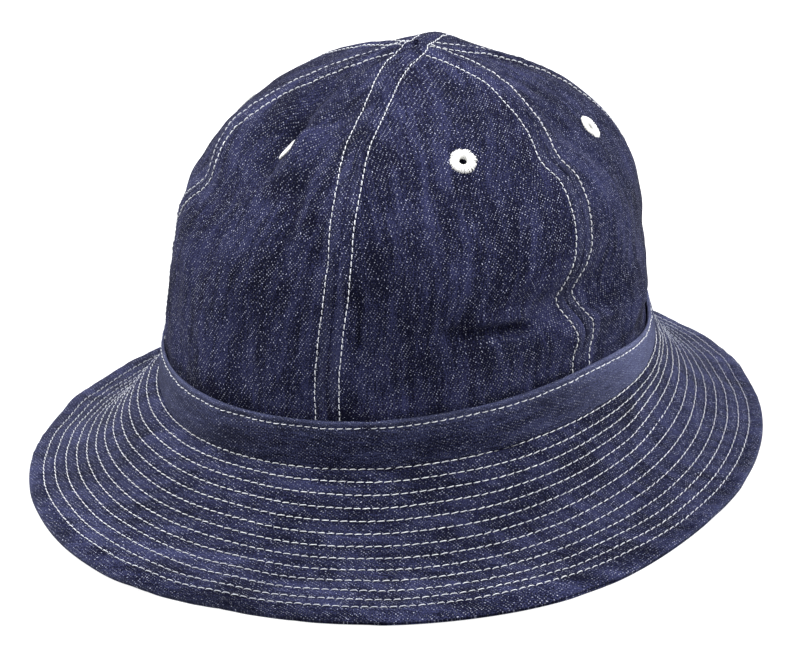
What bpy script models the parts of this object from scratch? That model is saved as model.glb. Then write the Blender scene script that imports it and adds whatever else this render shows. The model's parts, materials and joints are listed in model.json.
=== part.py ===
"""Army hat: a soft denim hat with a six panel crown, a sewn band and a flaring stitched brim.

It stands on its brim on the ground. The front seam faces -Y, the wearer's left is +X and up is +Z. Around the
hat a place is given by its turn, in degrees from the front seam towards the wearer's left. Up the crown it is
given by its climb, from 0 at the foot to 1 at the top, and out along the brim by its way out from the foot.
"""

from math import radians, tan

import bpy
import numpy as np
from mathutils import Vector

MM = 0.001

# Cloth and clearances
CLOTH = 1.05 * MM
FIT_GAP = 0.3 * MM
SEAM_GAP = 0.6 * MM

# Foot of the crown, an oval that dips to one side, measured outside the crown's cloth
FOOT_HALF_WIDTH = 91.3 * MM
FOOT_HALF_LENGTH = 95.9 * MM
FOOT_HEIGHT = 38.0 * MM
FOOT_TILT_SIDE = 2.28
FOOT_TILT_BACK = 1.71

# Crown
PANELS = 6
PANEL_TURN = 360 / PANELS
CROWN_RISE = 119.0 * MM
SEAM_RIDGE = 1.6 * MM
TOP_LEAN_SIDE = 9.5 * MM
TOP_LEAN_BACK = 3.0 * MM
TIP_REACH = 1.0 * MM
RIDGE_POWER = 2.4
SWAY_LEAST_REACH = 0.05
SHORT_CLIMB = 0.001
FOLD_DEPTH = 5.5 * MM
SEAM_SWAY = 4.0 * MM
PANEL_COLUMNS = 10
PANEL_ROWS = 16

# Hatband
BAND_HEIGHT = 16.5 * MM
BAND_WALL = 1.6 * MM
BAND_RINGS = 5

# Brim
BRIM_WIDTH = 60.2 * MM
HEM = 2.6 * MM
BRIM_COLUMNS = 72
BRIM_RINGS = (0.10, 0.24, 0.40, 0.60, 0.80)
WALK_STEPS = 24

# Eyelets
EYELET_HOLE_RADIUS = 1.3 * MM
EYELET_NECK_RADIUS = 2.2 * MM
EYELET_RADIUS = 5.1 * MM
EYELET_BACK_RADIUS = 4.6 * MM
EYELET_PILE = 0.55 * MM
EYELET_SEAT = 0.45 * MM
EYELET_SIDES = 12
EYELET_CUTTER_LENGTH = 12.0 * MM
EYELET_NEAR_TURN = 2.0
EYELET_NEAR_CLIMB = 0.02

# The crown's profile. Reach is a share of the foot's oval, rise of CROWN_RISE, ridge of SEAM_RIDGE and lean
# of the top's lean.
PROFILE = np.array(
    [
        # climb, reach, rise, ridge, lean
        (0.00, 1.000, 0.000, 0.00, 0.00),
        (0.10, 0.983, 0.130, 0.00, 0.00),
        (0.22, 0.973, 0.280, 0.10, 0.17),
        (0.34, 0.954, 0.420, 0.25, 0.32),
        (0.46, 0.913, 0.550, 0.45, 0.46),
        (0.56, 0.845, 0.655, 0.70, 0.60),
        (0.66, 0.736, 0.752, 0.90, 0.73),
        (0.75, 0.612, 0.832, 1.00, 0.84),
        (0.83, 0.475, 0.895, 1.00, 0.91),
        (0.91, 0.285, 0.953, 0.70, 0.97),
        (1.00, 0.000, 1.000, 0.00, 1.00),
    ]
)

# How far each seam in front strays from its own plane as it climbs, in shares of SEAM_SWAY, positive towards
# the wearer's left.
SWAY = np.array(
    [
        # climb, front seam, left seam, right seam
        (0.00, 0.65, -0.12, -2.80),
        (0.12, 0.60, -0.25, -3.40),
        (0.19, 0.40, 0.20, -3.40),
        (0.30, 0.45, -0.75, -3.40),
        (0.42, 0.60, 0.50, -2.60),
        (0.50, 0.40, 1.00, -1.00),
        (0.57, 0.05, 1.00, 0.00),
        (0.66, -0.25, 0.62, -0.75),
        (0.76, -0.45, 0.70, -0.75),
        (0.87, -0.30, 0.50, -0.38),
        (1.00, 0.00, 0.00, 0.00),
    ]
)
SWAY_HOMES = (0, 60, -60)

# Dents and swells of the crown. Depth is a share of FOLD_DEPTH, and a swell has a negative depth. Slant is
# the climb that the dent gains over ten degrees of turn.
DENTS = (
    # turn, climb, depth, half_turn, half_climb, slant
    (57, 0.46, -0.45, 26, 0.12, 0.0),
    (60, 0.30, 1.00, 15, 0.055, 0.0),
    (60, 0.20, -0.18, 14, 0.04, 0.0),
    (34, 0.285, 0.45, 13, 0.035, -0.004),
    (33, 0.36, -0.22, 18, 0.06, 0.0),
    (-72, 0.30, 0.36, 30, 0.13, 0.0),
    (-64, 0.57, 0.45, 12, 0.05, 0.0),
    (-60, 0.68, -0.27, 16, 0.07, 0.0),
    (-36, 0.72, 0.12, 9, 0.16, 0.0),
    (-24, 0.72, -0.12, 9, 0.16, 0.0),
    (-95, 0.72, -0.60, 36, 0.22, 0.0),
    (180, 0.93, -0.33, 30, 0.06, 0.0),
    (108, 0.21, -0.32, 26, 0.05, 0.0),
    (-75, 0.08, 0.25, 30, 0.09, 0.0),
    (-74, 0.48, -0.22, 18, 0.05, 0.0),
)

# The brim's slope below the level, in degrees, from the foot to the rim. Round the hat it is a mean with one
# wave and two waves on it, each given by its swing and the turn where it is steepest.
BRIM_SLOPES = np.array(
    [
        # share of the way out, mean, one_wave, one_turn, two_waves, two_turn
        (0.00, 46, 11.0, 116, 17, 51),
        (0.25, 59, 8.0, 116, 10, 52),
        (0.50, 42, 6.0, 126, 3, 61),
        (0.75, 19, 3.0, 146, 2, 128),
        (0.90, 12, 1.5, 163, 4, 139),
        (1.00, 15, 1.0, 217, 5, 148),
    ]
)

# Where the brim is wider or narrower than BRIM_WIDTH. The change is let in from RIM_CHANGE_START, a share of
# the way out, up to the rim, and it fades round the hat over half_turn.
RIM_CHANGES = (
    # turn, wider by, half_turn
    (42, 4.8 * MM, 19),
    (-8, -4.8 * MM, 17),
)
RIM_CHANGE_START = 0.90

# Where each eyelet stands in its panel: its turn as a share of the panel, and its climb.
EYELET_PLACES = (
    # share, climb
    (0.53, 0.713),
    (0.54, 0.664),
    (0.50, 0.68),
    (0.50, 0.68),
    (0.50, 0.68),
    (0.54, 0.715),
)

INDIGO = (0.030, 0.032, 0.075, 1.0)
DENIM_ROUGHNESS = 0.9
WARM_WHITE = (0.80, 0.78, 0.72, 1.0)
THREAD_ROUGHNESS = 0.6


def eased(table, column, place):
    """Reads one column of a table at any place in its first column, by a smooth curve through its rows."""
    stops = table[:, 0]
    values = table[:, column]
    gaps = np.diff(stops)
    steps = np.diff(values) / gaps
    slopes = np.empty_like(values)
    slopes[1:-1] = (steps[:-1] * gaps[1:] + steps[1:] * gaps[:-1]) / (gaps[1:] + gaps[:-1])
    slopes[0] = steps[0]
    slopes[-1] = steps[-1]
    place = np.clip(place, stops[0], stops[-1])
    row = np.clip(np.searchsorted(stops, place, side="right") - 1, 0, len(stops) - 2)
    s = (place - stops[row]) / gaps[row]
    start = (1 + 2 * s) * (1 - s) ** 2 * values[row] + s * (1 - s) ** 2 * gaps[row] * slopes[row]
    end = s * s * (3 - 2 * s) * values[row + 1] + s * s * (s - 1) * gaps[row] * slopes[row + 1]
    return start + end


def turn_from(turn, home):
    """The shorter way round from home to turn, in degrees."""
    return np.mod(turn - home + 180, 360) - 180


def heading(turn):
    """The angle about +Z, in radians, of a turn from the front seam."""
    return np.radians(turn - 90.0)


def foot_radius(angle, extra=0.0):
    """Radius of the crown's foot in this direction, or of an oval that lies further out by extra."""
    across = FOOT_HALF_WIDTH + extra
    along = FOOT_HALF_LENGTH + extra
    return 1 / np.hypot(np.cos(angle) / across, np.sin(angle) / along)


def foot_level(x, y):
    """Height of the slanting plane that the crown and the band stand on."""
    return FOOT_HEIGHT + x * tan(radians(FOOT_TILT_SIDE)) + y * tan(radians(FOOT_TILT_BACK))


def stray(turn, climb):
    """How far the cloth is carried round the crown, in metres."""
    total = np.zeros_like(turn)
    for column, home in enumerate(SWAY_HOMES, start=1):
        away = turn_from(turn, home)
        near = np.where(np.abs(away) < PANEL_TURN, np.cos(np.pi / 2 * away / PANEL_TURN) ** 2, 0)
        total = total + near * eased(SWAY, column, climb)
    return total * SEAM_SWAY


def swell(turn, climb):
    """How far the cloth stands out from the plain profile, by its seams' ridges, dents and swells."""
    across = np.mod(turn, PANEL_TURN) / PANEL_TURN * 2 - 1
    push = (np.abs(across) ** RIDGE_POWER - 1) * eased(PROFILE, 3, climb) * SEAM_RIDGE
    for home, height, depth, half_turn, half_climb, slant in DENTS:
        away = turn_from(turn, home)
        above = climb - height - slant * away / 10
        push = push - depth * FOLD_DEPTH * np.exp(-((away / half_turn) ** 2) - (above / half_climb) ** 2)
    return push


def profile_outward(climb):
    """The profile's outward direction at this climb, as its shares out and up."""
    ahead = np.clip(climb + SHORT_CLIMB, 0, 1)
    behind = np.clip(climb - SHORT_CLIMB, 0, 1)
    inward = (eased(PROFILE, 1, behind) - eased(PROFILE, 1, ahead)) * FOOT_HALF_WIDTH
    upward = (eased(PROFILE, 2, ahead) - eased(PROFILE, 2, behind)) * CROWN_RISE
    length = np.hypot(inward, upward)
    return upward / length, inward / length


def crown_point(turn, climb):
    """A point of the crown's outer surface."""
    turn, climb = np.broadcast_arrays(np.asarray(turn, float), np.asarray(climb, float))
    reach = eased(PROFILE, 1, climb)
    rise = eased(PROFILE, 2, climb)
    lean = eased(PROFILE, 4, climb)
    push = swell(turn, climb)
    out, up = profile_outward(climb)
    near_radius = FOOT_HALF_WIDTH * np.maximum(reach, SWAY_LEAST_REACH)
    angle = heading(turn + np.degrees(stray(turn, climb) / near_radius))
    radius = foot_radius(angle) * reach + push * out
    x = radius * np.cos(angle)
    y = radius * np.sin(angle)
    z = foot_level(x, y) * (1 - rise) + (FOOT_HEIGHT + CROWN_RISE) * rise + push * up
    return np.stack([x + TOP_LEAN_SIDE * lean, y + TOP_LEAN_BACK * lean, z], axis=-1)


def band_point(turn, height):
    """A point of the band's outer surface, at a height above the foot. The band wraps the crown."""
    climbs = np.linspace(0, 0.5, 200)
    climb = np.interp(height / CROWN_RISE, eased(PROFILE, 2, climbs), climbs)
    crown = crown_point(turn, climb)
    radius = np.hypot(crown[..., 0], crown[..., 1])
    wrap = 1 + (FIT_GAP + BAND_WALL) / radius
    x = crown[..., 0] * wrap
    y = crown[..., 1] * wrap
    return np.stack([x, y, foot_level(x, y) + height], axis=-1)


def brim_slope(turn, share):
    """The brim's slope below the level, in radians."""
    one_wave = np.cos(np.radians(turn - eased(BRIM_SLOPES, 3, share)))
    two_waves = np.cos(2 * np.radians(turn - eased(BRIM_SLOPES, 5, share)))
    slope = eased(BRIM_SLOPES, 1, share)
    slope = slope + eased(BRIM_SLOPES, 2, share) * one_wave
    slope = slope + eased(BRIM_SLOPES, 4, share) * two_waves
    return np.radians(slope)


def rim_change(turn, way_out):
    """How much further out the brim's cloth lies here, where the brim is wider or narrower."""
    part = np.clip((way_out / BRIM_WIDTH - RIM_CHANGE_START) / (1 - RIM_CHANGE_START), 0, 1)
    change = np.zeros_like(turn)
    for home, wider, half_turn in RIM_CHANGES:
        change = change + wider * np.exp(-((turn_from(turn, home) / half_turn) ** 2))
    return change * part


def brim_point(turn, way_out):
    """A point of the brim's upper surface. A negative way out lies on the flat ledge under the band."""
    turn, way_out = np.broadcast_arrays(np.asarray(turn, float), np.asarray(way_out, float))
    angle = heading(turn)
    edge = foot_radius(angle, FIT_GAP + BAND_WALL)
    radius = edge + np.minimum(way_out, 0)
    height = foot_level(radius * np.cos(angle), radius * np.sin(angle)) - FIT_GAP
    step = (np.maximum(way_out, 0) + rim_change(turn, way_out)) / WALK_STEPS
    for walked in range(WALK_STEPS):
        slope = brim_slope(turn, (walked + 0.5) * step / BRIM_WIDTH)
        radius = radius + np.cos(slope) * step
        height = height - np.sin(slope) * step
    height = np.maximum(height, 2 * CLOTH + FIT_GAP)
    return np.stack([radius * np.cos(angle), radius * np.sin(angle), height], axis=-1)


def middle_of_rim():
    """The middle of the rim's outline seen from above, which is put over the origin."""
    rim = brim_point(np.arange(BRIM_COLUMNS) * 360 / BRIM_COLUMNS, BRIM_WIDTH)
    middle = (rim.max(axis=0) + rim.min(axis=0)) / 2
    return np.array([middle[0], middle[1], 0.0])


def climb_at_radius(radius):
    """The climb where the crown has closed in to this radius."""
    climbs = np.linspace(0.9, 1.0, 200)
    radii = eased(PROFILE, 1, climbs) * FOOT_HALF_WIDTH
    return float(np.interp(-radius, -radii, climbs))


def sunk(points, depth, closed):
    """A grid of points moved by depth to the inner side of the sheet that they lie on."""
    if closed:
        around = np.roll(points, -1, axis=1) - np.roll(points, 1, axis=1)
    else:
        around = np.gradient(points, axis=1)
    normal = np.cross(around, np.gradient(points, axis=0))
    return points - depth * normal / np.linalg.norm(normal, axis=2, keepdims=True)


def make_material(name, colour, roughness):
    material = bpy.data.materials.new(name)
    material.use_nodes = True
    shader = material.node_tree.nodes["Principled BSDF"]
    shader.inputs["Base Color"].default_value = colour
    shader.inputs["Roughness"].default_value = roughness
    shader.inputs["Metallic"].default_value = 0.0
    return material


def sheet_object(name, points, closed, wall, collection, material):
    """A solid sheet of cloth: a grid of points on its outer side, thickened inwards."""
    rows, columns = points.shape[:2]
    last = columns if closed else columns - 1
    faces = []
    for row in range(rows - 1):
        for column in range(last):
            right = (column + 1) % columns
            low = row * columns
            high = low + columns
            faces.append((low + column, low + right, high + right, high + column))
    mesh = bpy.data.meshes.new(name)
    mesh.from_pydata([tuple(point) for point in points.reshape(-1, 3)], [], faces)
    mesh.update()
    mesh.materials.append(material)
    obj = bpy.data.objects.new(name, mesh)
    collection.objects.link(obj)
    thicken = obj.modifiers.new("thickness", "SOLIDIFY")
    thicken.thickness = wall
    thicken.offset = -1.0
    return obj


def make_panel(number, home, collection, material):
    """One pointed panel between two seams, up to its tip at the crown's top."""
    climbs = np.linspace(0, climb_at_radius(TIP_REACH), PANEL_ROWS + 1)
    shares = np.linspace(0, 1, PANEL_COLUMNS + 1)
    reach = np.maximum(eased(PROFILE, 1, climbs), TIP_REACH / FOOT_HALF_WIDTH)
    margin = np.degrees(SEAM_GAP / 2 / (FOOT_HALF_WIDTH * reach))[:, None]
    turns = number * PANEL_TURN + margin + shares[None, :] * (PANEL_TURN - 2 * margin)
    points = crown_point(turns, climbs[:, None]) - home
    return sheet_object(f"crown_panel_{number + 1}", points, False, CLOTH, collection, material)


def eyelet_seat(number, home):
    """Where an eyelet sits on its panel, and the panel's outward direction there."""
    share, climb = EYELET_PLACES[number]
    turn = (number + share) * PANEL_TURN
    middle = crown_point(turn, climb)
    left = crown_point(turn + EYELET_NEAR_TURN, climb)
    right = crown_point(turn - EYELET_NEAR_TURN, climb)
    above = crown_point(turn, climb + EYELET_NEAR_CLIMB)
    below = crown_point(turn, climb - EYELET_NEAR_CLIMB)
    outward = np.cross(left - right, above - below)
    return Vector(middle - home), Vector(outward / np.linalg.norm(outward))


def cut_eyelet_hole(panel, place, outward, cutters):
    """A round hole through a panel, wider than the eyelet's neck by the clearance."""
    bpy.ops.mesh.primitive_cylinder_add(
        vertices=EYELET_SIDES, radius=EYELET_NECK_RADIUS + FIT_GAP, depth=EYELET_CUTTER_LENGTH
    )
    cutter = bpy.context.object
    cutter.name = f"{panel.name}_hole"
    for owner in list(cutter.users_collection):
        owner.objects.unlink(cutter)
    cutters.objects.link(cutter)
    cutter.location = place
    cutter.rotation_mode = "QUATERNION"
    cutter.rotation_quaternion = outward.to_track_quat("Z", "Y")
    cutter.hide_render = True
    cutter.display_type = "WIRE"
    cut = panel.modifiers.new("eyelet hole", "BOOLEAN")
    cut.operation = "DIFFERENCE"
    cut.object = cutter


def make_eyelet(number, place, outward, collection, material):
    """A ring of wound thread with a rim on both sides of the cloth, turned from its profile."""
    front = EYELET_SEAT
    back = -CLOTH - EYELET_SEAT
    profile = (
        (EYELET_HOLE_RADIUS, front + EYELET_PILE),
        (EYELET_RADIUS - EYELET_PILE, front + EYELET_PILE),
        (EYELET_RADIUS, front + EYELET_PILE / 2),
        (EYELET_RADIUS, front),
        (EYELET_NECK_RADIUS, front),
        (EYELET_NECK_RADIUS, back),
        (EYELET_BACK_RADIUS, back),
        (EYELET_BACK_RADIUS, back - EYELET_PILE),
        (EYELET_HOLE_RADIUS, back - EYELET_PILE),
    )
    name = f"eyelet_{number + 1}"
    mesh = bpy.data.meshes.new(name)
    edges = [(index, (index + 1) % len(profile)) for index in range(len(profile))]
    mesh.from_pydata([(r, 0.0, z) for r, z in profile], edges, [])
    mesh.materials.append(material)
    obj = bpy.data.objects.new(name, mesh)
    collection.objects.link(obj)
    turned = obj.modifiers.new("turned", "SCREW")
    turned.steps = EYELET_SIDES
    turned.render_steps = EYELET_SIDES
    turned.use_merge_vertices = True
    turned.merge_threshold = 0.00001
    obj.location = place
    obj.rotation_mode = "QUATERNION"
    obj.rotation_quaternion = outward.to_track_quat("Z", "Y")
    return obj


def make_band(home, collection, material):
    """The folded strip round the foot of the crown."""
    turns = np.arange(BRIM_COLUMNS) * 360 / BRIM_COLUMNS
    heights = np.linspace(FIT_GAP, BAND_HEIGHT, BAND_RINGS)
    points = band_point(turns[None, :], heights[:, None]) - home
    return sheet_object("hatband", points, True, BAND_WALL, collection, material)


def press_on_ground(obj):
    """Makes the thickness real, then flattens what would reach below the ground."""
    graph = bpy.context.evaluated_depsgraph_get()
    mesh = bpy.data.meshes.new_from_object(obj.evaluated_get(graph))
    obj.modifiers.clear()
    obj.data = mesh
    for vertex in mesh.vertices:
        vertex.co.z = max(vertex.co.z, 0.0)


def make_brim(home, collection, material):
    """Two plies of the same shape, one under the other, from the ledge under the band to the rim."""
    ledge = CLOTH + FIT_GAP + BAND_WALL
    ways = [-ledge, 0.0]
    ways += [share * BRIM_WIDTH for share in BRIM_RINGS]
    ways += [BRIM_WIDTH - HEM, BRIM_WIDTH]
    turns = np.arange(BRIM_COLUMNS) * 360 / BRIM_COLUMNS
    outer = brim_point(turns[None, :], np.array(ways)[:, None])[::-1] - home
    sheet_object("brim_upper", outer, True, CLOTH, collection, material)
    lower = sunk(outer, CLOTH + FIT_GAP, True)
    under = sheet_object("brim_under", lower, True, CLOTH, collection, material)
    press_on_ground(under)


def main():
    for obj in list(bpy.data.objects):
        bpy.data.objects.remove(obj, do_unlink=True)
    hat = bpy.data.collections.new("army hat")
    cutters = bpy.data.collections.new("cutters")
    bpy.context.scene.collection.children.link(hat)
    bpy.context.scene.collection.children.link(cutters)
    denim = make_material("denim", INDIGO, DENIM_ROUGHNESS)
    thread = make_material("thread", WARM_WHITE, THREAD_ROUGHNESS)
    home = middle_of_rim()
    for number in range(PANELS):
        panel = make_panel(number, home, hat, denim)
        place, outward = eyelet_seat(number, home)
        cut_eyelet_hole(panel, place, outward, cutters)
        make_eyelet(number, place, outward, hat, thread)
    make_band(home, hat, denim)
    make_brim(home, hat, denim)


main()
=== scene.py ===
# %% [markdown]
# This lesson dresses a soft army hat in denim. The hat is sewn from six pointed panels, a folded band and a
# brim of two plies that thirteen rows of stitching hold together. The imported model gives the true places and
# sizes, so it is loaded first, and its box is kept to compare with at the end.

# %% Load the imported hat
import json
from functools import partial
from math import cos, pi, radians, sin, tan

import bpy
import numpy as np
from mathutils import Matrix, Vector

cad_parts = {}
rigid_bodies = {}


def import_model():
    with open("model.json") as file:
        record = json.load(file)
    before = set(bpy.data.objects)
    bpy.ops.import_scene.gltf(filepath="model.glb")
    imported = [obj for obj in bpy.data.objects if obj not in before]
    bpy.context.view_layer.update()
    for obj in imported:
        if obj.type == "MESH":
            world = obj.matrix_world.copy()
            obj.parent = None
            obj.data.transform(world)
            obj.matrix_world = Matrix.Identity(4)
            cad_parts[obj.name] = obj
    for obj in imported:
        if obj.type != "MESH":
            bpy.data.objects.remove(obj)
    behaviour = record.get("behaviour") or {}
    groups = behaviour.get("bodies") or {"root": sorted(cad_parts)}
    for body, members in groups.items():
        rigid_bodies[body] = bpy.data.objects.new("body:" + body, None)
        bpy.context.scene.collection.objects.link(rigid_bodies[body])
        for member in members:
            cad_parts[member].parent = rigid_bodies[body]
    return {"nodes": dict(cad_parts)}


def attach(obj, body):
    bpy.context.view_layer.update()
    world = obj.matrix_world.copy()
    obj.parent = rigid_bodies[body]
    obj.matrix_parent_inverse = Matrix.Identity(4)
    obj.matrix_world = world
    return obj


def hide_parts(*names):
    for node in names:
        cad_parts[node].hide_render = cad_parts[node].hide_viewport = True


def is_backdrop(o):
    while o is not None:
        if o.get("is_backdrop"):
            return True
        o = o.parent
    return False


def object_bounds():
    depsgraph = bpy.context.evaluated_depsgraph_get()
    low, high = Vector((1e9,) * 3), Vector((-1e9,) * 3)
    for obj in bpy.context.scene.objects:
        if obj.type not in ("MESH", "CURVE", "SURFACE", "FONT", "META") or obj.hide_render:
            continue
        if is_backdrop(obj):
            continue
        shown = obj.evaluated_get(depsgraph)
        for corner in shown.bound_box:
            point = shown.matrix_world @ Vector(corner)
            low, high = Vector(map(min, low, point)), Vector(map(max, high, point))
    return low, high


for leftover in list(bpy.data.objects):
    bpy.data.objects.remove(leftover, do_unlink=True)
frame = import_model()
CAD_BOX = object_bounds()
MM = 0.001
CM = 0.01
scene = bpy.context.scene


def scene_object(name, data):
    """A new object in the scene that holds this data."""
    obj = bpy.data.objects.new(name, data)
    scene.collection.objects.link(obj)
    return obj


def mesh_object(name, points, edges, faces, material=None):
    """A new object in the scene with a mesh of these points, edges and faces."""
    mesh = bpy.data.meshes.new(name)
    mesh.from_pydata(points, edges, faces)
    mesh.shade_smooth()
    if material:
        mesh.materials.append(material)
    return scene_object(name, mesh)


print("Nodes:", sorted(frame["nodes"]))
print("CAD box in mm:", [[round(value / MM, 1) for value in corner] for corner in CAD_BOX])

# %% [markdown]
# The camera looks down a little on the hat's front, from the wearer's left, through a long lens. A camera can
# be aimed by a constraint, but a matrix worked out from its azimuth, height and roll is easier to check.
# A small shift of the lens puts the hat where the picture has it, with less room above it than below.

# %% Camera
PICTURE_WIDTH = 800
CAMERA_AZIMUTH = 18.5
CAMERA_ELEVATION = 22.4
CAMERA_ROLL = -2.9
CAMERA_DISTANCE = 900 * MM
CAMERA_LENS = 107.8
SENSOR_WIDTH = 36.0
AIM = Vector((3.73 * MM, 0.19 * MM, 63.3 * MM))
RIGHT_PIXELS = 1
UP_PIXELS = 45

azimuth = radians(CAMERA_AZIMUTH)
elevation = radians(CAMERA_ELEVATION)
back = Vector((sin(azimuth) * cos(elevation), -cos(azimuth) * cos(elevation), sin(elevation)))
camera_data = bpy.data.cameras.new("camera")
camera_data.lens = CAMERA_LENS
camera_data.sensor_width = SENSOR_WIDTH
camera_data.shift_x = -RIGHT_PIXELS / PICTURE_WIDTH
camera_data.shift_y = -UP_PIXELS / PICTURE_WIDTH
camera_data.clip_start = 0.01
camera = scene_object("camera", camera_data)
aimed = back.to_track_quat("Z", "Y").to_matrix().to_4x4()
rolled = Matrix.Rotation(radians(CAMERA_ROLL), 4, "Z")
camera.matrix_world = Matrix.Translation(AIM + back * CAMERA_DISTANCE) @ aimed @ rolled
scene.camera = camera
print("Camera at", [round(value, 3) for value in camera.matrix_world.translation])

# %% [markdown]
# Cloth shows its folds in soft light that comes from the sides and from above, with less from the front.
# A light tent does that in a studio. Here three large area lights and a pale sky stand for the tent. The
# plain pale floor glows a little of its own, as a light table does, which takes most of the hat's shadow out.

# %% Floor and light
FLOOR_HALF = 6.0
FLOOR_PAINT = {
    "Base Color": (0.20, 0.20, 0.20, 1.0),
    "Roughness": 1.0,
    "Specular IOR Level": 0.0,
    "Emission Color": (1.0, 1.0, 1.0, 1.0),
    "Emission Strength": 0.92,
}
SKY = {"Color": (0.96, 0.98, 1.0, 1.0), "Strength": 0.70}
LIGHTS = (
    # name, place in metres, width, height, watts
    ("overhead light", (0.05, 0.45, 1.25), 1.40, 1.20, 14.0),
    ("left light", (-0.95, -0.05, 1.10), 1.00, 1.00, 40.0),
    ("right light", (0.95, 0.00, 1.10), 1.00, 1.00, 36.0),
)

scene.view_settings.view_transform = "Standard"
scene.world = bpy.data.worlds.new("sky")
scene.world.use_nodes = True
floor_paint = bpy.data.materials.new("floor paint")
floor_paint.use_nodes = True
for label, value in SKY.items():
    scene.world.node_tree.nodes["Background"].inputs[label].default_value = value
for label, value in FLOOR_PAINT.items():
    floor_paint.node_tree.nodes["Principled BSDF"].inputs[label].default_value = value

for name, place, width, height, watts in LIGHTS:
    light_data = bpy.data.lights.new(name, "AREA")
    light_data.shape = "RECTANGLE"
    light_data.size = width
    light_data.size_y = height
    light_data.energy = watts
    away = Vector(place) - AIM
    turned = away.to_track_quat("Z", "Y").to_matrix().to_4x4()
    scene_object(name, light_data).matrix_world = Matrix.Translation(place) @ turned

corners = [(x * FLOOR_HALF, y * FLOOR_HALF, 0) for x, y in ((-1, -1), (1, -1), (1, 1), (-1, 1))]
floor = mesh_object("floor", corners, [], [(0, 1, 2, 3)], floor_paint)
floor.data.shade_flat()
floor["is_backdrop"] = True
print("Lights:", len(LIGHTS))

# %% [markdown]
# The hat has no straight edge to measure from, so its shape is held in a few driving sizes and in tables of
# shares of them, as in the part's source. A place on the hat is its turn, in degrees from the front seam
# towards the wearer's left, with its climb, from 0 at the crown's foot to 1 at the top. On the brim it is the
# turn and the way out from the foot.

# %% Sizes of the hat
CLOTH = 1.05 * MM
FIT_GAP = 0.3 * MM
FOOT_HALF_WIDTH = 91.3 * MM
FOOT_HALF_LENGTH = 95.9 * MM
FOOT_MEAN = (FOOT_HALF_WIDTH + FOOT_HALF_LENGTH) / 2
FOOT_HEIGHT = 38.0 * MM
FOOT_TILT_SIDE = 2.28
FOOT_TILT_BACK = 1.71
PANELS = 6
PANEL_TURN = 360 / PANELS
CROWN_RISE = 119.0 * MM
SEAM_RIDGE = 1.6 * MM
RIDGE_POWER = 2.4
TOP_LEAN_SIDE = 9.5 * MM
TOP_LEAN_BACK = 3.0 * MM
FOLD_DEPTH = 5.5 * MM
SEAM_SWAY = 4.0 * MM
SWAY_LEAST_REACH = 0.05
SHORT_CLIMB = 0.001
BAND_HEIGHT = 16.5 * MM
BAND_WALL = 1.6 * MM
BRIM_WIDTH = 60.2 * MM
BRIM_WALL = 2 * CLOTH + FIT_GAP

PROFILE = np.array([
    # climb, reach, rise, ridge, lean
    (0.00, 1.000, 0.000, 0.00, 0.00),
    (0.10, 0.983, 0.130, 0.00, 0.00),
    (0.22, 0.973, 0.280, 0.10, 0.17),
    (0.34, 0.954, 0.420, 0.25, 0.32),
    (0.46, 0.913, 0.550, 0.45, 0.46),
    (0.56, 0.845, 0.655, 0.70, 0.60),
    (0.66, 0.736, 0.752, 0.90, 0.73),
    (0.75, 0.612, 0.832, 1.00, 0.84),
    (0.83, 0.475, 0.895, 1.00, 0.91),
    (0.91, 0.285, 0.953, 0.70, 0.97),
    (1.00, 0.000, 1.000, 0.00, 1.00),
])
SWAY = np.array([
    # climb, front seam, left seam, right seam
    (0.00, 0.65, -0.12, -2.80),
    (0.12, 0.60, -0.25, -3.40),
    (0.19, 0.40, 0.20, -3.40),
    (0.30, 0.45, -0.75, -3.40),
    (0.42, 0.60, 0.50, -2.60),
    (0.50, 0.40, 1.00, -1.00),
    (0.57, 0.05, 1.00, 0.00),
    (0.66, -0.25, 0.62, -0.75),
    (0.76, -0.45, 0.70, -0.75),
    (0.87, -0.30, 0.50, -0.38),
    (1.00, 0.00, 0.00, 0.00),
])
FINE_SWAY = np.array([
    # climb, front seam, left seam, right seam
    (0.00, 0.00, 0.60, 0.00),
    (0.12, 0.00, 0.60, 0.00),
    (0.22, 0.00, 0.30, 0.00),
    (0.32, 0.00, 0.00, 0.00),
    (0.50, 0.00, 0.00, 0.20),
    (0.56, 0.00, 0.25, 0.50),
    (0.61, 0.00, 0.30, 0.60),
    (0.66, 0.00, -0.15, -0.10),
    (0.71, -0.10, 0.18, -0.80),
    (0.76, -0.22, 0.55, -1.00),
    (0.82, -0.20, 0.80, -0.95),
    (0.87, -0.30, 1.15, -0.60),
    (0.94, -0.50, 0.90, -0.45),
    (1.00, 0.00, 0.00, 0.00),
])
SWAY_HOMES = (0, 60, -60)
DENTS = (
    # turn, climb, depth, half_turn, half_climb, slant
    (57, 0.46, -0.45, 26, 0.12, 0.0),
    (60, 0.30, 1.00, 15, 0.055, 0.0),
    (60, 0.20, -0.18, 14, 0.04, 0.0),
    (34, 0.285, 0.45, 13, 0.035, -0.004),
    (33, 0.36, -0.22, 18, 0.06, 0.0),
    (-72, 0.30, 0.36, 30, 0.13, 0.0),
    (-64, 0.57, 0.45, 12, 0.05, 0.0),
    (-60, 0.68, -0.27, 16, 0.07, 0.0),
    (-36, 0.72, 0.12, 9, 0.16, 0.0),
    (-24, 0.72, -0.12, 9, 0.16, 0.0),
    (-95, 0.72, -0.60, 36, 0.22, 0.0),
    (180, 0.93, -0.33, 30, 0.06, 0.0),
    (108, 0.21, -0.32, 26, 0.05, 0.0),
    (-75, 0.08, 0.25, 30, 0.09, 0.0),
    (-74, 0.48, -0.22, 18, 0.05, 0.0),
)
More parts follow.
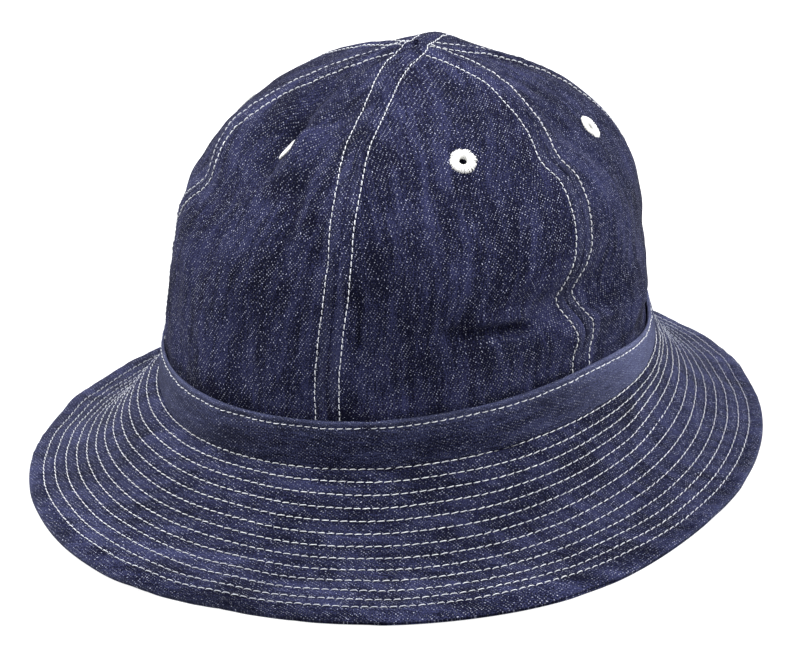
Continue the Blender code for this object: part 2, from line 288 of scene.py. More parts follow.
BRIM_SLOPES = np.array([
    # share of the way out, mean, one_wave, one_turn, two_waves, two_turn
    (0.00, 46, 11.0, 116, 17, 51),
    (0.25, 59, 8.0, 116, 10, 52),
    (0.50, 42, 6.0, 126, 3, 61),
    (0.75, 19, 3.0, 146, 2, 128),
    (0.90, 12, 1.5, 163, 4, 139),
    (1.00, 15, 1.0, 217, 5, 148),
])
# Bumps round the hat are rows of turn, half turn and size
RIM_CHANGES = ((42, 19, 4.8 * MM), (-8, 17, -4.8 * MM))
RIM_CHANGE_START = 0.90
SIDE_BULGE = (89, 24, 2.0 * MM)
SIDE_BULGE_CLIMB = 0.14
SIDE_BULGE_OUT = np.array([
    # share of the way out, share of the bulge
    (0.00, 1.0),
    (0.08, 0.2),
    (0.18, -1.0),
    (0.35, -1.1),
    (0.50, -0.3),
    (0.62, 0.3),
    (0.80, 0.5),
    (1.00, 0.0),
])
print("Head size in cm:", round(2 * pi * (FOOT_MEAN - CLOTH) / CM, 1))

# %% [markdown]
# These functions give the plain surface, before any detail of the cloth. A table could be read by straight
# lines between its rows, but that leaves kinks, so a smooth curve goes through them. The crown is a profile
# that is turned, leaned and dented, and the brim is walked outwards along its slope.


# %% The plain shape
def eased(table, column, place):
    """Reads one column of a table at any place in its first column, by a smooth curve through its rows."""
    stops = table[:, 0]
    values = table[:, column]
    gaps = np.diff(stops)
    steps = np.diff(values) / gaps
    slopes = np.empty_like(values)
    slopes[1:-1] = (steps[:-1] * gaps[1:] + steps[1:] * gaps[:-1]) / (gaps[1:] + gaps[:-1])
    slopes[0] = steps[0]
    slopes[-1] = steps[-1]
    place = np.clip(place, stops[0], stops[-1])
    row = np.clip(np.searchsorted(stops, place, side="right") - 1, 0, len(stops) - 2)
    s = (place - stops[row]) / gaps[row]
    start = (1 + 2 * s) * (1 - s) ** 2 * values[row] + s * (1 - s) ** 2 * gaps[row] * slopes[row]
    end = s * s * (3 - 2 * s) * values[row + 1] + s * s * (s - 1) * gaps[row] * slopes[row + 1]
    return start + end


def grid(*parts):
    """Points from their coordinates, each spread over the same rows and columns."""
    return np.stack(np.broadcast_arrays(*parts), axis=-1)


def bell(away, half):
    """1 in the middle, falling off smoothly on both sides, to about a third at half."""
    return np.exp(-((away / half) ** 2))


def turn_from(turn, home):
    """The shorter way round from home to turn, in degrees."""
    return np.mod(turn - home + 180, 360) - 180


def bump(turn, home, half_turn, size):
    """A smooth bump at one place round the hat."""
    return size * bell(turn_from(turn, home), half_turn)


def heading(turn):
    """The angle about +Z, in radians, of a turn from the front seam."""
    return np.radians(turn - 90.0)


def reach(climb):
    """How far the crown reaches out at this climb, as a share of its foot."""
    return eased(PROFILE, 1, climb)


def rise(climb):
    """How high this climb lies over the foot, as a share of the crown's rise."""
    return eased(PROFILE, 2, climb)


def foot_radius(angle, extra=0.0):
    """Radius of the crown's foot in this direction, or of an oval that lies further out by extra."""
    return 1 / np.hypot(np.cos(angle) / (FOOT_HALF_WIDTH + extra), np.sin(angle) / (FOOT_HALF_LENGTH + extra))


def foot_level(x, y):
    """Height of the slanting plane that the crown and the band stand on."""
    return FOOT_HEIGHT + x * tan(radians(FOOT_TILT_SIDE)) + y * tan(radians(FOOT_TILT_BACK))


def stray(turn, climb):
    """How far the cloth is carried round the crown, in metres."""
    total = 0.0
    for column, home in enumerate(SWAY_HOMES, start=1):
        away = turn_from(turn, home)
        near = np.where(np.abs(away) < PANEL_TURN, np.cos(np.pi / 2 * away / PANEL_TURN) ** 2, 0)
        total = total + near * (eased(SWAY, column, climb) + eased(FINE_SWAY, column, climb))
    return total * SEAM_SWAY


def swell(turn, climb):
    """How far the cloth stands out from the plain profile, by its seams' ridges, dents and swells."""
    across = np.mod(turn, PANEL_TURN) / PANEL_TURN * 2 - 1
    push = (np.abs(across) ** RIDGE_POWER - 1) * eased(PROFILE, 3, climb) * SEAM_RIDGE
    for home, height, depth, half_turn, half_climb, slant in DENTS:
        away = turn_from(turn, home)
        above = climb - height - slant * away / 10
        push = push - depth * FOLD_DEPTH * bell(away, half_turn) * bell(above, half_climb)
    return push


def profile_outward(climb):
    """The profile's outward direction at this climb, as its shares out and up."""
    climb = np.clip(climb, 0, 1)
    inward = (reach(climb - SHORT_CLIMB) - reach(climb + SHORT_CLIMB)) * FOOT_HALF_WIDTH
    upward = (rise(climb + SHORT_CLIMB) - rise(climb - SHORT_CLIMB)) * CROWN_RISE
    length = np.hypot(inward, upward)
    return upward / length, inward / length


def crown_point(turn, climb):
    """A point of the crown's plain outer surface, about the middle of its foot."""
    lean = eased(PROFILE, 4, climb)
    push = swell(turn, climb)
    out, up = profile_outward(climb)
    near_radius = FOOT_HALF_WIDTH * np.maximum(reach(climb), SWAY_LEAST_REACH)
    angle = heading(turn + np.degrees(stray(turn, climb) / near_radius))
    radius = foot_radius(angle) * reach(climb) + push * out
    radius = radius + bump(turn, *SIDE_BULGE) * bell(climb, SIDE_BULGE_CLIMB)
    x = radius * np.cos(angle)
    y = radius * np.sin(angle)
    z = foot_level(x, y) * (1 - rise(climb)) + (FOOT_HEIGHT + CROWN_RISE) * rise(climb) + push * up
    return grid(x + TOP_LEAN_SIDE * lean, y + TOP_LEAN_BACK * lean, z)


def band_point(turn, height):
    """A point of the band's plain outer surface, at a height above the foot. The band wraps the crown."""
    climbs = np.linspace(0, 0.5, 200)
    crown = crown_point(turn, np.interp(height / CROWN_RISE, rise(climbs), climbs))
    wrap = 1 + (FIT_GAP + BAND_WALL) / np.hypot(crown[..., 0], crown[..., 1])
    x = crown[..., 0] * wrap
    y = crown[..., 1] * wrap
    return grid(x, y, foot_level(x, y) + height)


def brim_slope(turn, share):
    """The brim's slope below the level, in radians."""
    slope = eased(BRIM_SLOPES, 1, share)
    for waves, column in ((1, 2), (2, 4)):
        away = np.radians(turn - eased(BRIM_SLOPES, column + 1, share))
        slope = slope + eased(BRIM_SLOPES, column, share) * np.cos(waves * away)
    return np.radians(slope)


def rim_change(turn, way_out):
    """How much further out the brim's cloth lies here, where the brim is wider or narrower."""
    part = np.clip((way_out / BRIM_WIDTH - RIM_CHANGE_START) / (1 - RIM_CHANGE_START), 0, 1)
    return sum(bump(turn, *change) for change in RIM_CHANGES) * part


WALKS = 150
SPARE_WALKS = 10


def brim_points(turns, ways):
    """A grid of points of the brim's plain upper surface, for ways out from the foot, one row each."""
    turns, ways = np.broadcast_arrays(turns[None, :], ways)
    stride = BRIM_WIDTH / (WALKS - SPARE_WALKS)
    slopes = brim_slope(turns[:1], (np.arange(WALKS)[:, None] + 0.5) * stride / BRIM_WIDTH)
    place = np.clip((np.maximum(ways, 0) + rim_change(turns, ways)) / stride, 0, WALKS)
    row = np.minimum(place.astype(int), WALKS - 1)
    column = np.broadcast_to(np.arange(turns.shape[1]), row.shape)
    part = place - row

    def walked(steps):
        """How far the walk has come at each place."""
        sums = np.concatenate([np.zeros((1, turns.shape[1])), np.cumsum(steps, axis=0)]) * stride
        return sums[row, column] * (1 - part) + sums[row + 1, column] * part

    angle = heading(turns)
    edge = foot_radius(angle, FIT_GAP + BAND_WALL) + np.minimum(ways, 0)
    height = foot_level(edge * np.cos(angle), edge * np.sin(angle)) - FIT_GAP - walked(np.sin(slopes))
    bulge = bump(turns, *SIDE_BULGE) * eased(SIDE_BULGE_OUT, 1, ways / BRIM_WIDTH)
    radius = edge + walked(np.cos(slopes)) + bulge
    return grid(radius * np.cos(angle), radius * np.sin(angle), np.maximum(height, BRIM_WALL))


rim = brim_points(np.arange(0.0, 360.0, 5.0), np.full((1, 1), BRIM_WIDTH))[0]
HOME = (rim.max(axis=0) + rim.min(axis=0)) / 2 * np.array([1, 1, 0])
print("Middle of the rim from the middle of the foot, in mm:", np.round(HOME / MM, 2))

# %% [markdown]
# A material is a graph of nodes, and a long one is hard to read as calls. So one small class holds an output
# socket, and plain sums on it add the Math nodes. Every other node comes from one function that sets its
# settings and fills or links its inputs. The same class serves the Geometry Nodes further down.


# %% Nodes written as sums
class Wire:
    """One output of a node tree. Sums, differences and products of it add Math nodes."""

    def __init__(self, tree, socket):
        self.tree = tree
        self.socket = socket

    def __add__(self, other):
        return math_node("ADD", self, other)

    __radd__ = __add__

    def __sub__(self, other):
        return math_node("SUBTRACT", self, other)

    def __rsub__(self, other):
        return math_node("SUBTRACT", other, self)

    def __mul__(self, other):
        return math_node("MULTIPLY", self, other)

    def within(self, low=0.0, high=1.0):
        """The value held between two limits."""
        return math_node("MINIMUM", math_node("MAXIMUM", self, low), high)


def add_node(tree, kind, inputs=None, settings=None, output=0):
    """Adds one node, its settings first, and gives the wire of one output, or of several."""
    made = tree.nodes.new(kind)
    for name, value in (settings or {}).items():
        setattr(made, name, value)
    for socket, value in (inputs or {}).items():
        if isinstance(value, Wire):
            tree.links.new(value.socket, made.inputs[socket])
        else:
            made.inputs[socket].default_value = value
    if isinstance(output, tuple):
        return [Wire(tree, made.outputs[name]) for name in output]
    return Wire(tree, made.outputs[output]) if len(made.outputs) else None


def math_node(operation, first, second=0.0):
    """A Math node of two values, of which one at least is a wire."""
    tree = first.tree if isinstance(first, Wire) else second.tree
    return add_node(tree, "ShaderNodeMath", {0: first, 1: second}, {"operation": operation})


def blend_colours(factor, first, second):
    """A colour between two others."""
    return add_node(factor.tree, "ShaderNodeMix", {0: factor, 6: first, 7: second}, {"data_type": "RGBA"}, 2)


def new_material(name):
    """An empty material, and the function that adds nodes to it."""
    material = bpy.data.materials.new(name)
    material.use_nodes = True
    material.node_tree.nodes.clear()
    return material, partial(add_node, material.node_tree)


print("Signs that add a Math node:", [sign for sign in ("add", "sub", "mul") if hasattr(Wire, f"__{sign}__")])

# %% [markdown]
# Denim is a twill: an indigo warp yarn runs over two white weft yarns and under one, and each row is
# stepped by one yarn, so that the white crossings climb in slanting lines. The pattern could be a wave
# texture, but a wave is too even. Here the nodes count yarns from the cloth's own map, find the crossings,
# and give each crossing and each yarn its own chance tone. Slubs, washed patches, rubbed edges, painted shade
# and painted light come on top.

# %% Denim
CLOTH_MAP = "cloth"
# The point attribute of rubbed wear and painted light: below zero it is painted shade, and on the band's sides
# and the fold ridges its values above zero are painted light
WEAR_AND_PAINTED_LIGHT = "worn"
WARPS_PER_CM = 26.0
PICKS_PER_CM = 14.0
TWILL_STEP = 3
# How far the yarns stray in long and in short waves, in yarns
WAVER = 2.0
WARP_SHIVER = 1.2
PICK_SHIVER = 1.4
DEEP_INDIGO = (0.0024, 0.0026, 0.0085, 1.0)
# The colour of rubbed wear, also used where light is painted
RUBBED_AND_PAINTED_LIGHT_INDIGO = (0.0800, 0.0880, 0.1600, 1.0)
WEFT_WHITE = (0.5600, 0.5800, 0.7200, 1.0)
CLOUDS = {
    # blots to a centimetre across and along the warp, detail, roughness
    "waver": (1.3, 0.9, 1.0, 0.5),
    "shiver": (9.0, 6.0, 1.0, 0.5),
    "crowd": (9.0, 7.0, 1.0, 0.5),
    "slub": (20.0, 1.6, 1.0, 0.5),
    "streak": (2.2, 0.35, 3.0, 0.6),
    "patch": (0.5, 0.4, 3.0, 0.6),
    "grit": (22.0, 20.0, 2.0, 0.7),
}
TONES = {"slub": 0.9, "streak": 1.7, "patch": 1.6, "grit": 3.6}
YARN_TONE = 0.20
MIDDLE_TONE = 0.24


def denim_material(name, washed, lightness, weft_share):
    """Denim that reads the cloth map in centimetres and the attribute of wear and painted light and shade."""
    material, node = new_material(name)
    place = node("ShaderNodeUVMap", settings={"uv_map": CLOTH_MAP})
    across, along = node("ShaderNodeSeparateXYZ", {0: place}, output=("X", "Y"))
    noise = {}
    for label, (wide, high, detail, rough) in CLOUDS.items():
        stretched = node("ShaderNodeCombineXYZ", {"X": across * wide, "Y": along * high})
        inputs = {"Vector": stretched, "Scale": 1.0, "Detail": detail, "Roughness": rough}
        noise[label] = node("ShaderNodeTexNoise", inputs, {"noise_dimensions": "2D"})
    waver = noise["waver"] - 0.5
    shiver = noise["shiver"] - 0.5
    warp_place = across * WARPS_PER_CM + waver * WAVER + shiver * WARP_SHIVER
    pick_place = along * PICKS_PER_CM + waver * WAVER - shiver * PICK_SHIVER
    warp = math_node("FLOOR", warp_place)
    pick = math_node("FLOOR", pick_place)

    # White crossings, one in three, each of its own brightness
    crossing = math_node("LESS_THAN", math_node("FLOORED_MODULO", warp - pick, TWILL_STEP), 0.5)
    from_middle = math_node("FRACT", warp_place) - 0.5
    from_line = math_node("FRACT", pick_place) - 0.5
    dot = (1.3 - from_middle * from_middle * 6.0 - from_line * from_line * 14.0).within()
    cell = node("ShaderNodeCombineXYZ", {"X": warp, "Y": pick})
    chance = node("ShaderNodeTexWhiteNoise", {"Vector": cell}, {"noise_dimensions": "2D"})
    bright = (chance * 0.9 + noise["crowd"] * 0.9 - 0.46).within()
    white = crossing * dot * bright * bright

    # Tones of the single yarns, their slubs and the washed patches. Below zero the attribute is painted
    # shade: it deepens the indigo and hides the white crossings
    tone = node("ShaderNodeTexWhiteNoise", {"W": warp}, {"noise_dimensions": "1D"}) * YARN_TONE
    for label, weight in TONES.items():
        tone = tone + (noise[label] - 0.5) * weight
    worn = node("ShaderNodeAttribute", None, {"attribute_name": WEAR_AND_PAINTED_LIGHT}, "Fac")
    painted_shade = worn.within(-1.0, 0.0)
    tone_with_painted_shade = (tone * lightness + MIDDLE_TONE * lightness + painted_shade).within()
    colour = blend_colours(tone_with_painted_shade, DEEP_INDIGO, washed)

    # Rubbed edges, and the painted light on the band's sides and fold ridges, broken up by the yarns
    slub = noise["slub"]
    grit = noise["grit"]
    rubbed = (worn * (slub * 0.8 + grit * 1.6 - 0.4)).within()
    colour = blend_colours(rubbed, colour, RUBBED_AND_PAINTED_LIGHT_INDIGO)
    colour = blend_colours((white * weft_share * (1.0 + painted_shade)).within(), colour, WEFT_WHITE)

    # The warp floats stand above the crossings
    round_yarn = 1.0 - from_middle * from_middle * 4.0
    height = round_yarn * 0.5 - crossing * dot + grit * 0.8 + slub * 0.5
    relief = node("ShaderNodeBump", {"Strength": 0.45, "Distance": 0.12 * MM, "Height": height})
    inputs = {"Base Color": colour, "Roughness": 0.90, "Specular IOR Level": 0.03, "Normal": relief}
    node("ShaderNodeOutputMaterial", {"Surface": node("ShaderNodeBsdfPrincipled", inputs)})
    return material


# The three are copies of one denim, made lighter and darker for how bright each piece comes out under these
# lights: the difference between them is painted light and shade.
# The colour where the indigo is washed out most, the lightness and the white of the crossings
CROWN_DENIM = denim_material("crown denim", (0.0195, 0.0212, 0.0560, 1.0), 1.05, 0.64)
BAND_DENIM = denim_material("band denim", (0.0250, 0.0280, 0.0660, 1.0), 1.05, 0.42)
BRIM_DENIM = denim_material("brim denim", (0.0230, 0.0255, 0.0640, 1.0), 1.0, 0.62)
print("Denim nodes:", len(CROWN_DENIM.node_tree.nodes))

# %% [markdown]
# The sewing thread is spun cotton, off-white and greyer towards the back of the hat and far in front, and the
# eyelets are worked in a brighter and smoother one. A single colour would look like plastic, so soft noise
# shades the thread along its length and a finer one gives it its fibres.

# %% Thread
SEWING_COLOURS = ((0.60, 0.61, 0.64, 1.0), (0.28, 0.29, 0.32, 1.0))
EYELET_COLOURS = ((0.68, 0.67, 0.63, 1.0), (0.40, 0.40, 0.40, 1.0))
THREAD_GREY = (0.0900, 0.1000, 0.1500, 1.0)
# How far in front of the hat's middle the thread turns grey, backwards and forwards from there
GREY_BEHIND = 20 * MM
GREY_BEFORE = 110 * MM
BEFORE_SHARE = 0.8


def thread_material(name, colours, roughness, sheen, greying=0.0):
    """Thread with soft shading and fine fibres, made grey by greying at the hat's back and far in front."""
    material, node = new_material(name)
    light, dark = colours
    place = node("ShaderNodeTexCoord", output="Object")
    shade = node("ShaderNodeTexNoise", {"Vector": place, "Scale": 420.0, "Detail": 2.0})
    fibres = node("ShaderNodeTexNoise", {"Vector": place, "Scale": 4200.0, "Detail": 2.0})
    colour = blend_colours((shade * 1.8 - 0.45).within(), dark, light)
    backwards = node("ShaderNodeSeparateXYZ", {0: place}, output="Y")
    behind = ((backwards + GREY_BEHIND) * 12.0).within()
    before = ((-GREY_BEFORE - backwards) * 24.0).within()
    colour = blend_colours(behind * greying + before * greying * BEFORE_SHARE, colour, THREAD_GREY)
    relief = node("ShaderNodeBump", {"Strength": 0.5, "Distance": 0.05 * MM, "Height": fibres})
    inputs = {"Base Color": colour, "Roughness": roughness, "Sheen Weight": sheen, "Normal": relief}
    node("ShaderNodeOutputMaterial", {"Surface": node("ShaderNodeBsdfPrincipled", inputs)})
    return material


SEWING_THREAD = thread_material("sewing thread", SEWING_COLOURS, 0.75, 0.2)
BRIM_THREAD = thread_material("brim thread", SEWING_COLOURS, 0.75, 0.2, 0.75)
EYELET_THREAD = thread_material("eyelet thread", EYELET_COLOURS, 0.5, 0.3)
print("Thread nodes:", len(SEWING_THREAD.node_tree.nodes))

# %% [markdown]
# Cloth is never smooth. The crown has a few marked folds where it was pressed in, soft waves that come from
# handling, and small puckers where the thread pulls. Sculpting them by hand would be one way, but folds that
# are lines in a table can be moved and measured, and random waves with a fixed seed come out the same
# each time.

# %% Folds and waves of the cloth
RIPPLE_WAVES = 18
FOLDS = (
    # from_turn, from_climb, to_turn, to_climb, depth in mm, half width in mm
    (26, 0.290, 46, 0.264, 1.6, 2.0),
    (36, 0.280, 46.5, 0.264, 1.2, 2.4),
    (41, 0.272, 46.5, 0.264, 1.9, 1.7),
    (35, 0.305, 45, 0.292, -2.4, 3.4),
    (31, 0.258, 46, 0.243, -1.2, 3.0),
    (26, 0.345, 44, 0.330, 0.8, 6.0),
    (64, 0.222, 74, 0.190, -1.2, 2.4),
    (65, 0.247, 76, 0.220, 1.6, 2.6),
    (83, 0.150, 118, 0.150, -1.7, 5.5),
    (-21.2, 0.67, -20.5, 0.76, -2.5, 4.6),
    (-20.5, 0.76, -25, 0.85, -1.2, 4.2),
    (-31.2, 0.68, -30.7, 0.77, 2.9, 4.8),
    (-30.7, 0.77, -39.5, 0.86, 2.6, 4.6),
    (-15.5, 0.64, -14, 0.55, 1.9, 4.0),
    (-10, 0.62, -11, 0.53, -1.2, 3.5),
    (-8, 0.575, -4.5, 0.49, 1.7, 3.2),
    (-19, 0.65, -35, 0.50, 1.1, 5.0),
    (-24, 0.63, -40, 0.47, -0.9, 5.0),
    (4.8, 0.40, 6.2, 0.29, 1.6, 2.4),
    (24, 0.24, 19, 0.15, 1.4, 8.0),
    (22, 0.64, 21, 0.48, 0.8, 7.0),
    (73, 0.74, 80, 0.60, 1.3, 4.5),
    (-46, 0.30, -40, 0.16, 1.1, 7.0),
    (-20, 0.30, -20, 0.12, 0.9, 6.0),
    (-32, 0.33, -30, 0.14, -0.9, 6.0),
    (80, 0.34, 88, 0.20, -1.0, 8.0),
)
CLIMBS = np.linspace(0, 1, 401)
steps_up = np.hypot(np.diff(reach(CLIMBS)) * FOOT_HALF_WIDTH, np.diff(rise(CLIMBS)) * CROWN_RISE)
LENGTHS_UP = np.concatenate([[0], np.cumsum(steps_up)])


def up_the_crown(climb):
    """Length of cloth from the crown's foot up to this climb."""
    return np.interp(climb, CLIMBS, LENGTHS_UP)


def ripple(points, height, length, upright, seed):
    """Soft random waves through space, with crests about a length apart, or upright times closer upwards."""
    dice = np.random.default_rng(seed)
    points = points * [1, 1, upright]
    total = np.zeros(points.shape[:-1])
    for _ in range(RIPPLE_WAVES):
        direction = dice.normal(size=3)
        direction = direction / np.linalg.norm(direction)
        turns_per_metre = 2 * np.pi / (length * dice.uniform(0.75, 1.5))
        total += np.cos(points @ direction * turns_per_metre + dice.uniform(0, 2 * np.pi))
    return height * total / np.sqrt(2 * RIPPLE_WAVES)


def fold_push(turn, climb):
    """How far the folds carry the cloth out, in metres."""
    push = 0.0
    for from_turn, from_climb, to_turn, to_climb, depth, half_width in FOLDS:
        middle = (from_turn + to_turn) / 2
        around = FOOT_HALF_WIDTH * reach((from_climb + to_climb) / 2)
        start = np.array([radians(from_turn - middle) * around, up_the_crown(from_climb)])
        run = np.array([radians(to_turn - middle) * around, up_the_crown(to_climb)]) - start
        x = np.radians(turn_from(turn, middle)) * around - start[0]
        y = up_the_crown(climb) - start[1]
        share = np.clip((x * run[0] + y * run[1]) / (run @ run), 0, 1)
        away = np.hypot(x - share * run[0], y - share * run[1])
        push = push - depth * MM * bell(away, half_width * MM)
    return push


print("Folds:", len(FOLDS), "and the crown's side is", round(LENGTHS_UP[-1] / MM, 1), "mm long")

# %% [markdown]
# The panels meet in plain seams that are pressed open, with a row of topstitching on each side. Two layers
# more lie under the strip between the rows, so it stands up, dips along the seam and is pinched where the
# thread holds it down. The seam from front to back was sewn last and runs over the others at the top.
# All of it is a push outwards, added to the plain surface.

# %% The crown's surface
STITCH_FROM_SEAM = 4.3 * MM
STRIP_HALF = 5.4 * MM
STRIP_EDGE = 0.35 * MM
STRIP_RISE = 0.35 * MM
STITCH_PINCH = 0.30 * MM
PINCH_HALF = 0.75 * MM
SEAM_GROOVE = 0.26 * MM
GROOVE_HALF = 0.42 * MM
PUCKER_HALF = 3.0 * MM
SEAM_STIFFNESS = 0.8
STIFF_HALF = 9 * MM
FOOT_WAVE_CLIMB = 0.22
# Waves are rows of height, length from crest to crest, how much closer they lie upwards, and seed
PUCKER = (0.22 * MM, 5.0 * MM, 1, 3)
SOFT_WAVE = (0.95 * MM, 34 * MM, 0.55, 5)
SMALL_WAVE = (0.30 * MM, 12 * MM, 1, 7)
FOOT_WAVE = (0.9 * MM, 24 * MM, 0.2, 9)
SIDE_SEAMS = (60, 120, 240, 300)
TURN_STEP = 0.4
CLIMB_STEP = 0.004
FAR = 1.0


def strip(distance):
    """How far a seam's strip stands out at a distance from the seam, and how much of the strip is there."""
    there = 1 / (1 + np.exp(np.clip((distance - STRIP_HALF) / STRIP_EDGE, -40, 40)))
    push = STRIP_RISE * there - STITCH_PINCH * bell(distance - STITCH_FROM_SEAM, PINCH_HALF)
    return push - SEAM_GROOVE * bell(distance, GROOVE_HALF), there


def seam_distances(turn, climb):
    """Distance from the front to back seam, and from the nearest side seam."""
    radius = foot_radius(heading(turn)) * reach(climb)
    side = FAR
    for home in SIDE_SEAMS:
        away = turn_from(turn, home)
        side = np.minimum(side, np.where(np.abs(away) < 90, radius * np.abs(np.sin(np.radians(away))), FAR))
    return radius * np.abs(np.sin(np.radians(turn))), side


def cloth_push(turn, climb, points):
    """How far the cloth's details stand out from the plain crown."""
    main, side = seam_distances(turn, climb)
    main_push, main_there = strip(main)
    side_push, _ = strip(side)
    nearest = np.minimum(main, side)
    loose = 1 - SEAM_STIFFNESS * bell(nearest, STIFF_HALF)
    push = main_push + side_push * (1 - main_there) + fold_push(turn, climb)
    push = push + ripple(points, *PUCKER) * bell(nearest - STITCH_FROM_SEAM, PUCKER_HALF)
    push = push + ripple(points, *SOFT_WAVE) * loose + ripple(points, *SMALL_WAVE) * loose
    return push + ripple(points, *FOOT_WAVE) * bell(climb, FOOT_WAVE_CLIMB) * loose


def crown_surface(turn, climb):
    """Points of the finished crown's outer surface, and its outward directions there."""
    plain = crown_point(turn, climb)
    around = crown_point(turn + TURN_STEP, climb) - crown_point(turn - TURN_STEP, climb)
    upward = crown_point(turn, climb + CLIMB_STEP) - crown_point(turn, climb - CLIMB_STEP)
    outward = np.cross(around, upward)
    outward = outward / np.maximum(np.linalg.norm(outward, axis=-1, keepdims=True), 1e-12)
    return plain + outward * cloth_push(turn, climb, plain)[..., None] - HOME, outward


top, _ = crown_surface(np.array([0.0]), np.array([0.999]))
print("Top of the crown in mm:", np.round(top[0] / MM, 1))

# %% [markdown]
# Every cloth piece is a grid of points that is swept round the hat. A grid could be unwrapped afterwards, but
# cloth has a map of its own: where each point lay on the flat cloth before it was cut. That map is written
# with the grid, in centimetres, so that the yarns run as the cutter laid them. Where a piece was rubbed, and
# where light and shade are painted on it, is an attribute on its points.


# %% From grids to cloth
def grid_faces(rows, columns, closed_round, closed_section):
    """The four-sided faces between the points of a grid, which may close either way."""
    row = np.arange(rows if closed_section else rows - 1)[:, None]
    column = np.arange(columns if closed_round else columns - 1)[None, :]
    low = row * columns
    high = (row + 1) % rows * columns
    right = (column + 1) % columns
    return grid(low + column, low + right, high + right, high + column).reshape(-1, 4)


def cloth_object(name, points, flat, worn, material, closed=False, hole=None):
    """A mesh from a grid of points. flat has one more row and column than points where the grid closes."""
    faces = grid_faces(*points.shape[:2], closed, closed)
    corners = np.stack([flat[:-1, :-1], flat[:-1, 1:], flat[1:, 1:], flat[1:, :-1]], axis=2).reshape(-1, 4, 2)
    points = points.reshape(-1, 3)
    if hole is not None:
        kept = np.linalg.norm(points[faces].mean(axis=1) - hole, axis=1) > EYELET_CUT_RADIUS
        faces = faces[kept]
        corners = corners[kept]
    obj = mesh_object(name, points.tolist(), [], faces.tolist(), material)
    layer = obj.data.uv_layers.new(name=CLOTH_MAP)
    layer.data.foreach_set("uv", (corners / CM).astype(np.float32).ravel())
    attribute = obj.data.attributes.new(WEAR_AND_PAINTED_LIGHT, "FLOAT", "POINT")
    attribute.data.foreach_set("value", worn.astype(np.float32).ravel())
    return obj


def triangles(obj):
    """How many triangles a finished mesh has."""
    obj.data.calc_loop_triangles()
    return len(obj.data.loop_triangles)


def settle(obj):
    """Makes an object's modifiers real and removes them."""
    graph = bpy.context.evaluated_depsgraph_get()
    mesh = bpy.data.meshes.new_from_object(obj.evaluated_get(graph))
    obj.modifiers.clear()
    obj.data = mesh


print("Faces of a grid of 3 by 4 points:", len(grid_faces(3, 4, False, False)))

# %% [markdown]
# Each crown panel is a pointed gore, cut with its grain up the middle, and one of them could be turned round
# six times. Here each is its own grid, because every panel has its own dents and folds. The columns crowd
# towards the seams, where the strip needs them. A Solidify modifier gives the cloth its thickness, and the
# faces in the middle of each eyelet are left out, so that its hole goes through. Shade is painted into the
# cloth's colour at the top, in front, in a line just over the band and in the valleys of the folds, where the
# lights alone would leave it paler than in the picture. The ridges of the folds get rubbed wear and a little
# painted light.

# %% Crown panels
PANEL_COLUMNS = 96
PANEL_ROWS = 150
CROWDING = 0.6
TIP_RADIUS = 0.25 * MM
NEXT_PANEL_SHIFT = np.array([0.37, 0.23])
SEAM_WEAR = 0.12
SEAM_WEAR_PLACE = 2.2 * MM
SEAM_WEAR_HALF = 1.6 * MM
# Painted shade in the fold valleys, at the top, in the middle of the front and in a line just over the band.
# The fold ridges get a little rubbed wear and painted light.
VALLEY_PAINTED_SHADE = 0.08
RIDGE_WEAR_AND_LIGHT = 0.015
TOP_PAINTED_SHADE = 0.22
TOP_PAINTED_SHADE_FROM = 0.70
MID_PAINTED_SHADE = (12, 13, 0.16)
MID_PAINTED_SHADE_CLIMB = 0.5
MID_PAINTED_SHADE_HALF = 0.22
PAINTED_SHADOW_OVER_BAND = 0.40
PAINTED_SHADOW_OVER_BAND_HEIGHT = BAND_HEIGHT + 0.8 * MM
PAINTED_SHADOW_OVER_BAND_HALF = 1.6 * MM
EYELET_CUT_RADIUS = 2.6 * MM
EYELET_REACH = 3.5 * MM
# Each eyelet's share of the way across its panel, and its climb
EYELET_PLACES = ((0.53, 0.713), (0.565, 0.664), (0.50, 0.68), (0.50, 0.68), (0.50, 0.68), (0.555, 0.730))


def eyelet_seat(number):
    """Where an eyelet sits on its panel, and its outward direction."""
    share, climb = EYELET_PLACES[number]
    wide = np.degrees(EYELET_REACH / (FOOT_HALF_WIDTH * reach(climb)))
    high = EYELET_REACH / LENGTHS_UP[-1]
    turn = (number + share) * PANEL_TURN + wide * np.array([0, 1, -1, 0, 0])
    around, _ = crown_surface(turn, climb + high * np.array([0, 0, 0, 1, -1]))
    outward = np.cross(around[1] - around[2], around[3] - around[4])
    return around.mean(axis=0), outward / np.linalg.norm(outward)


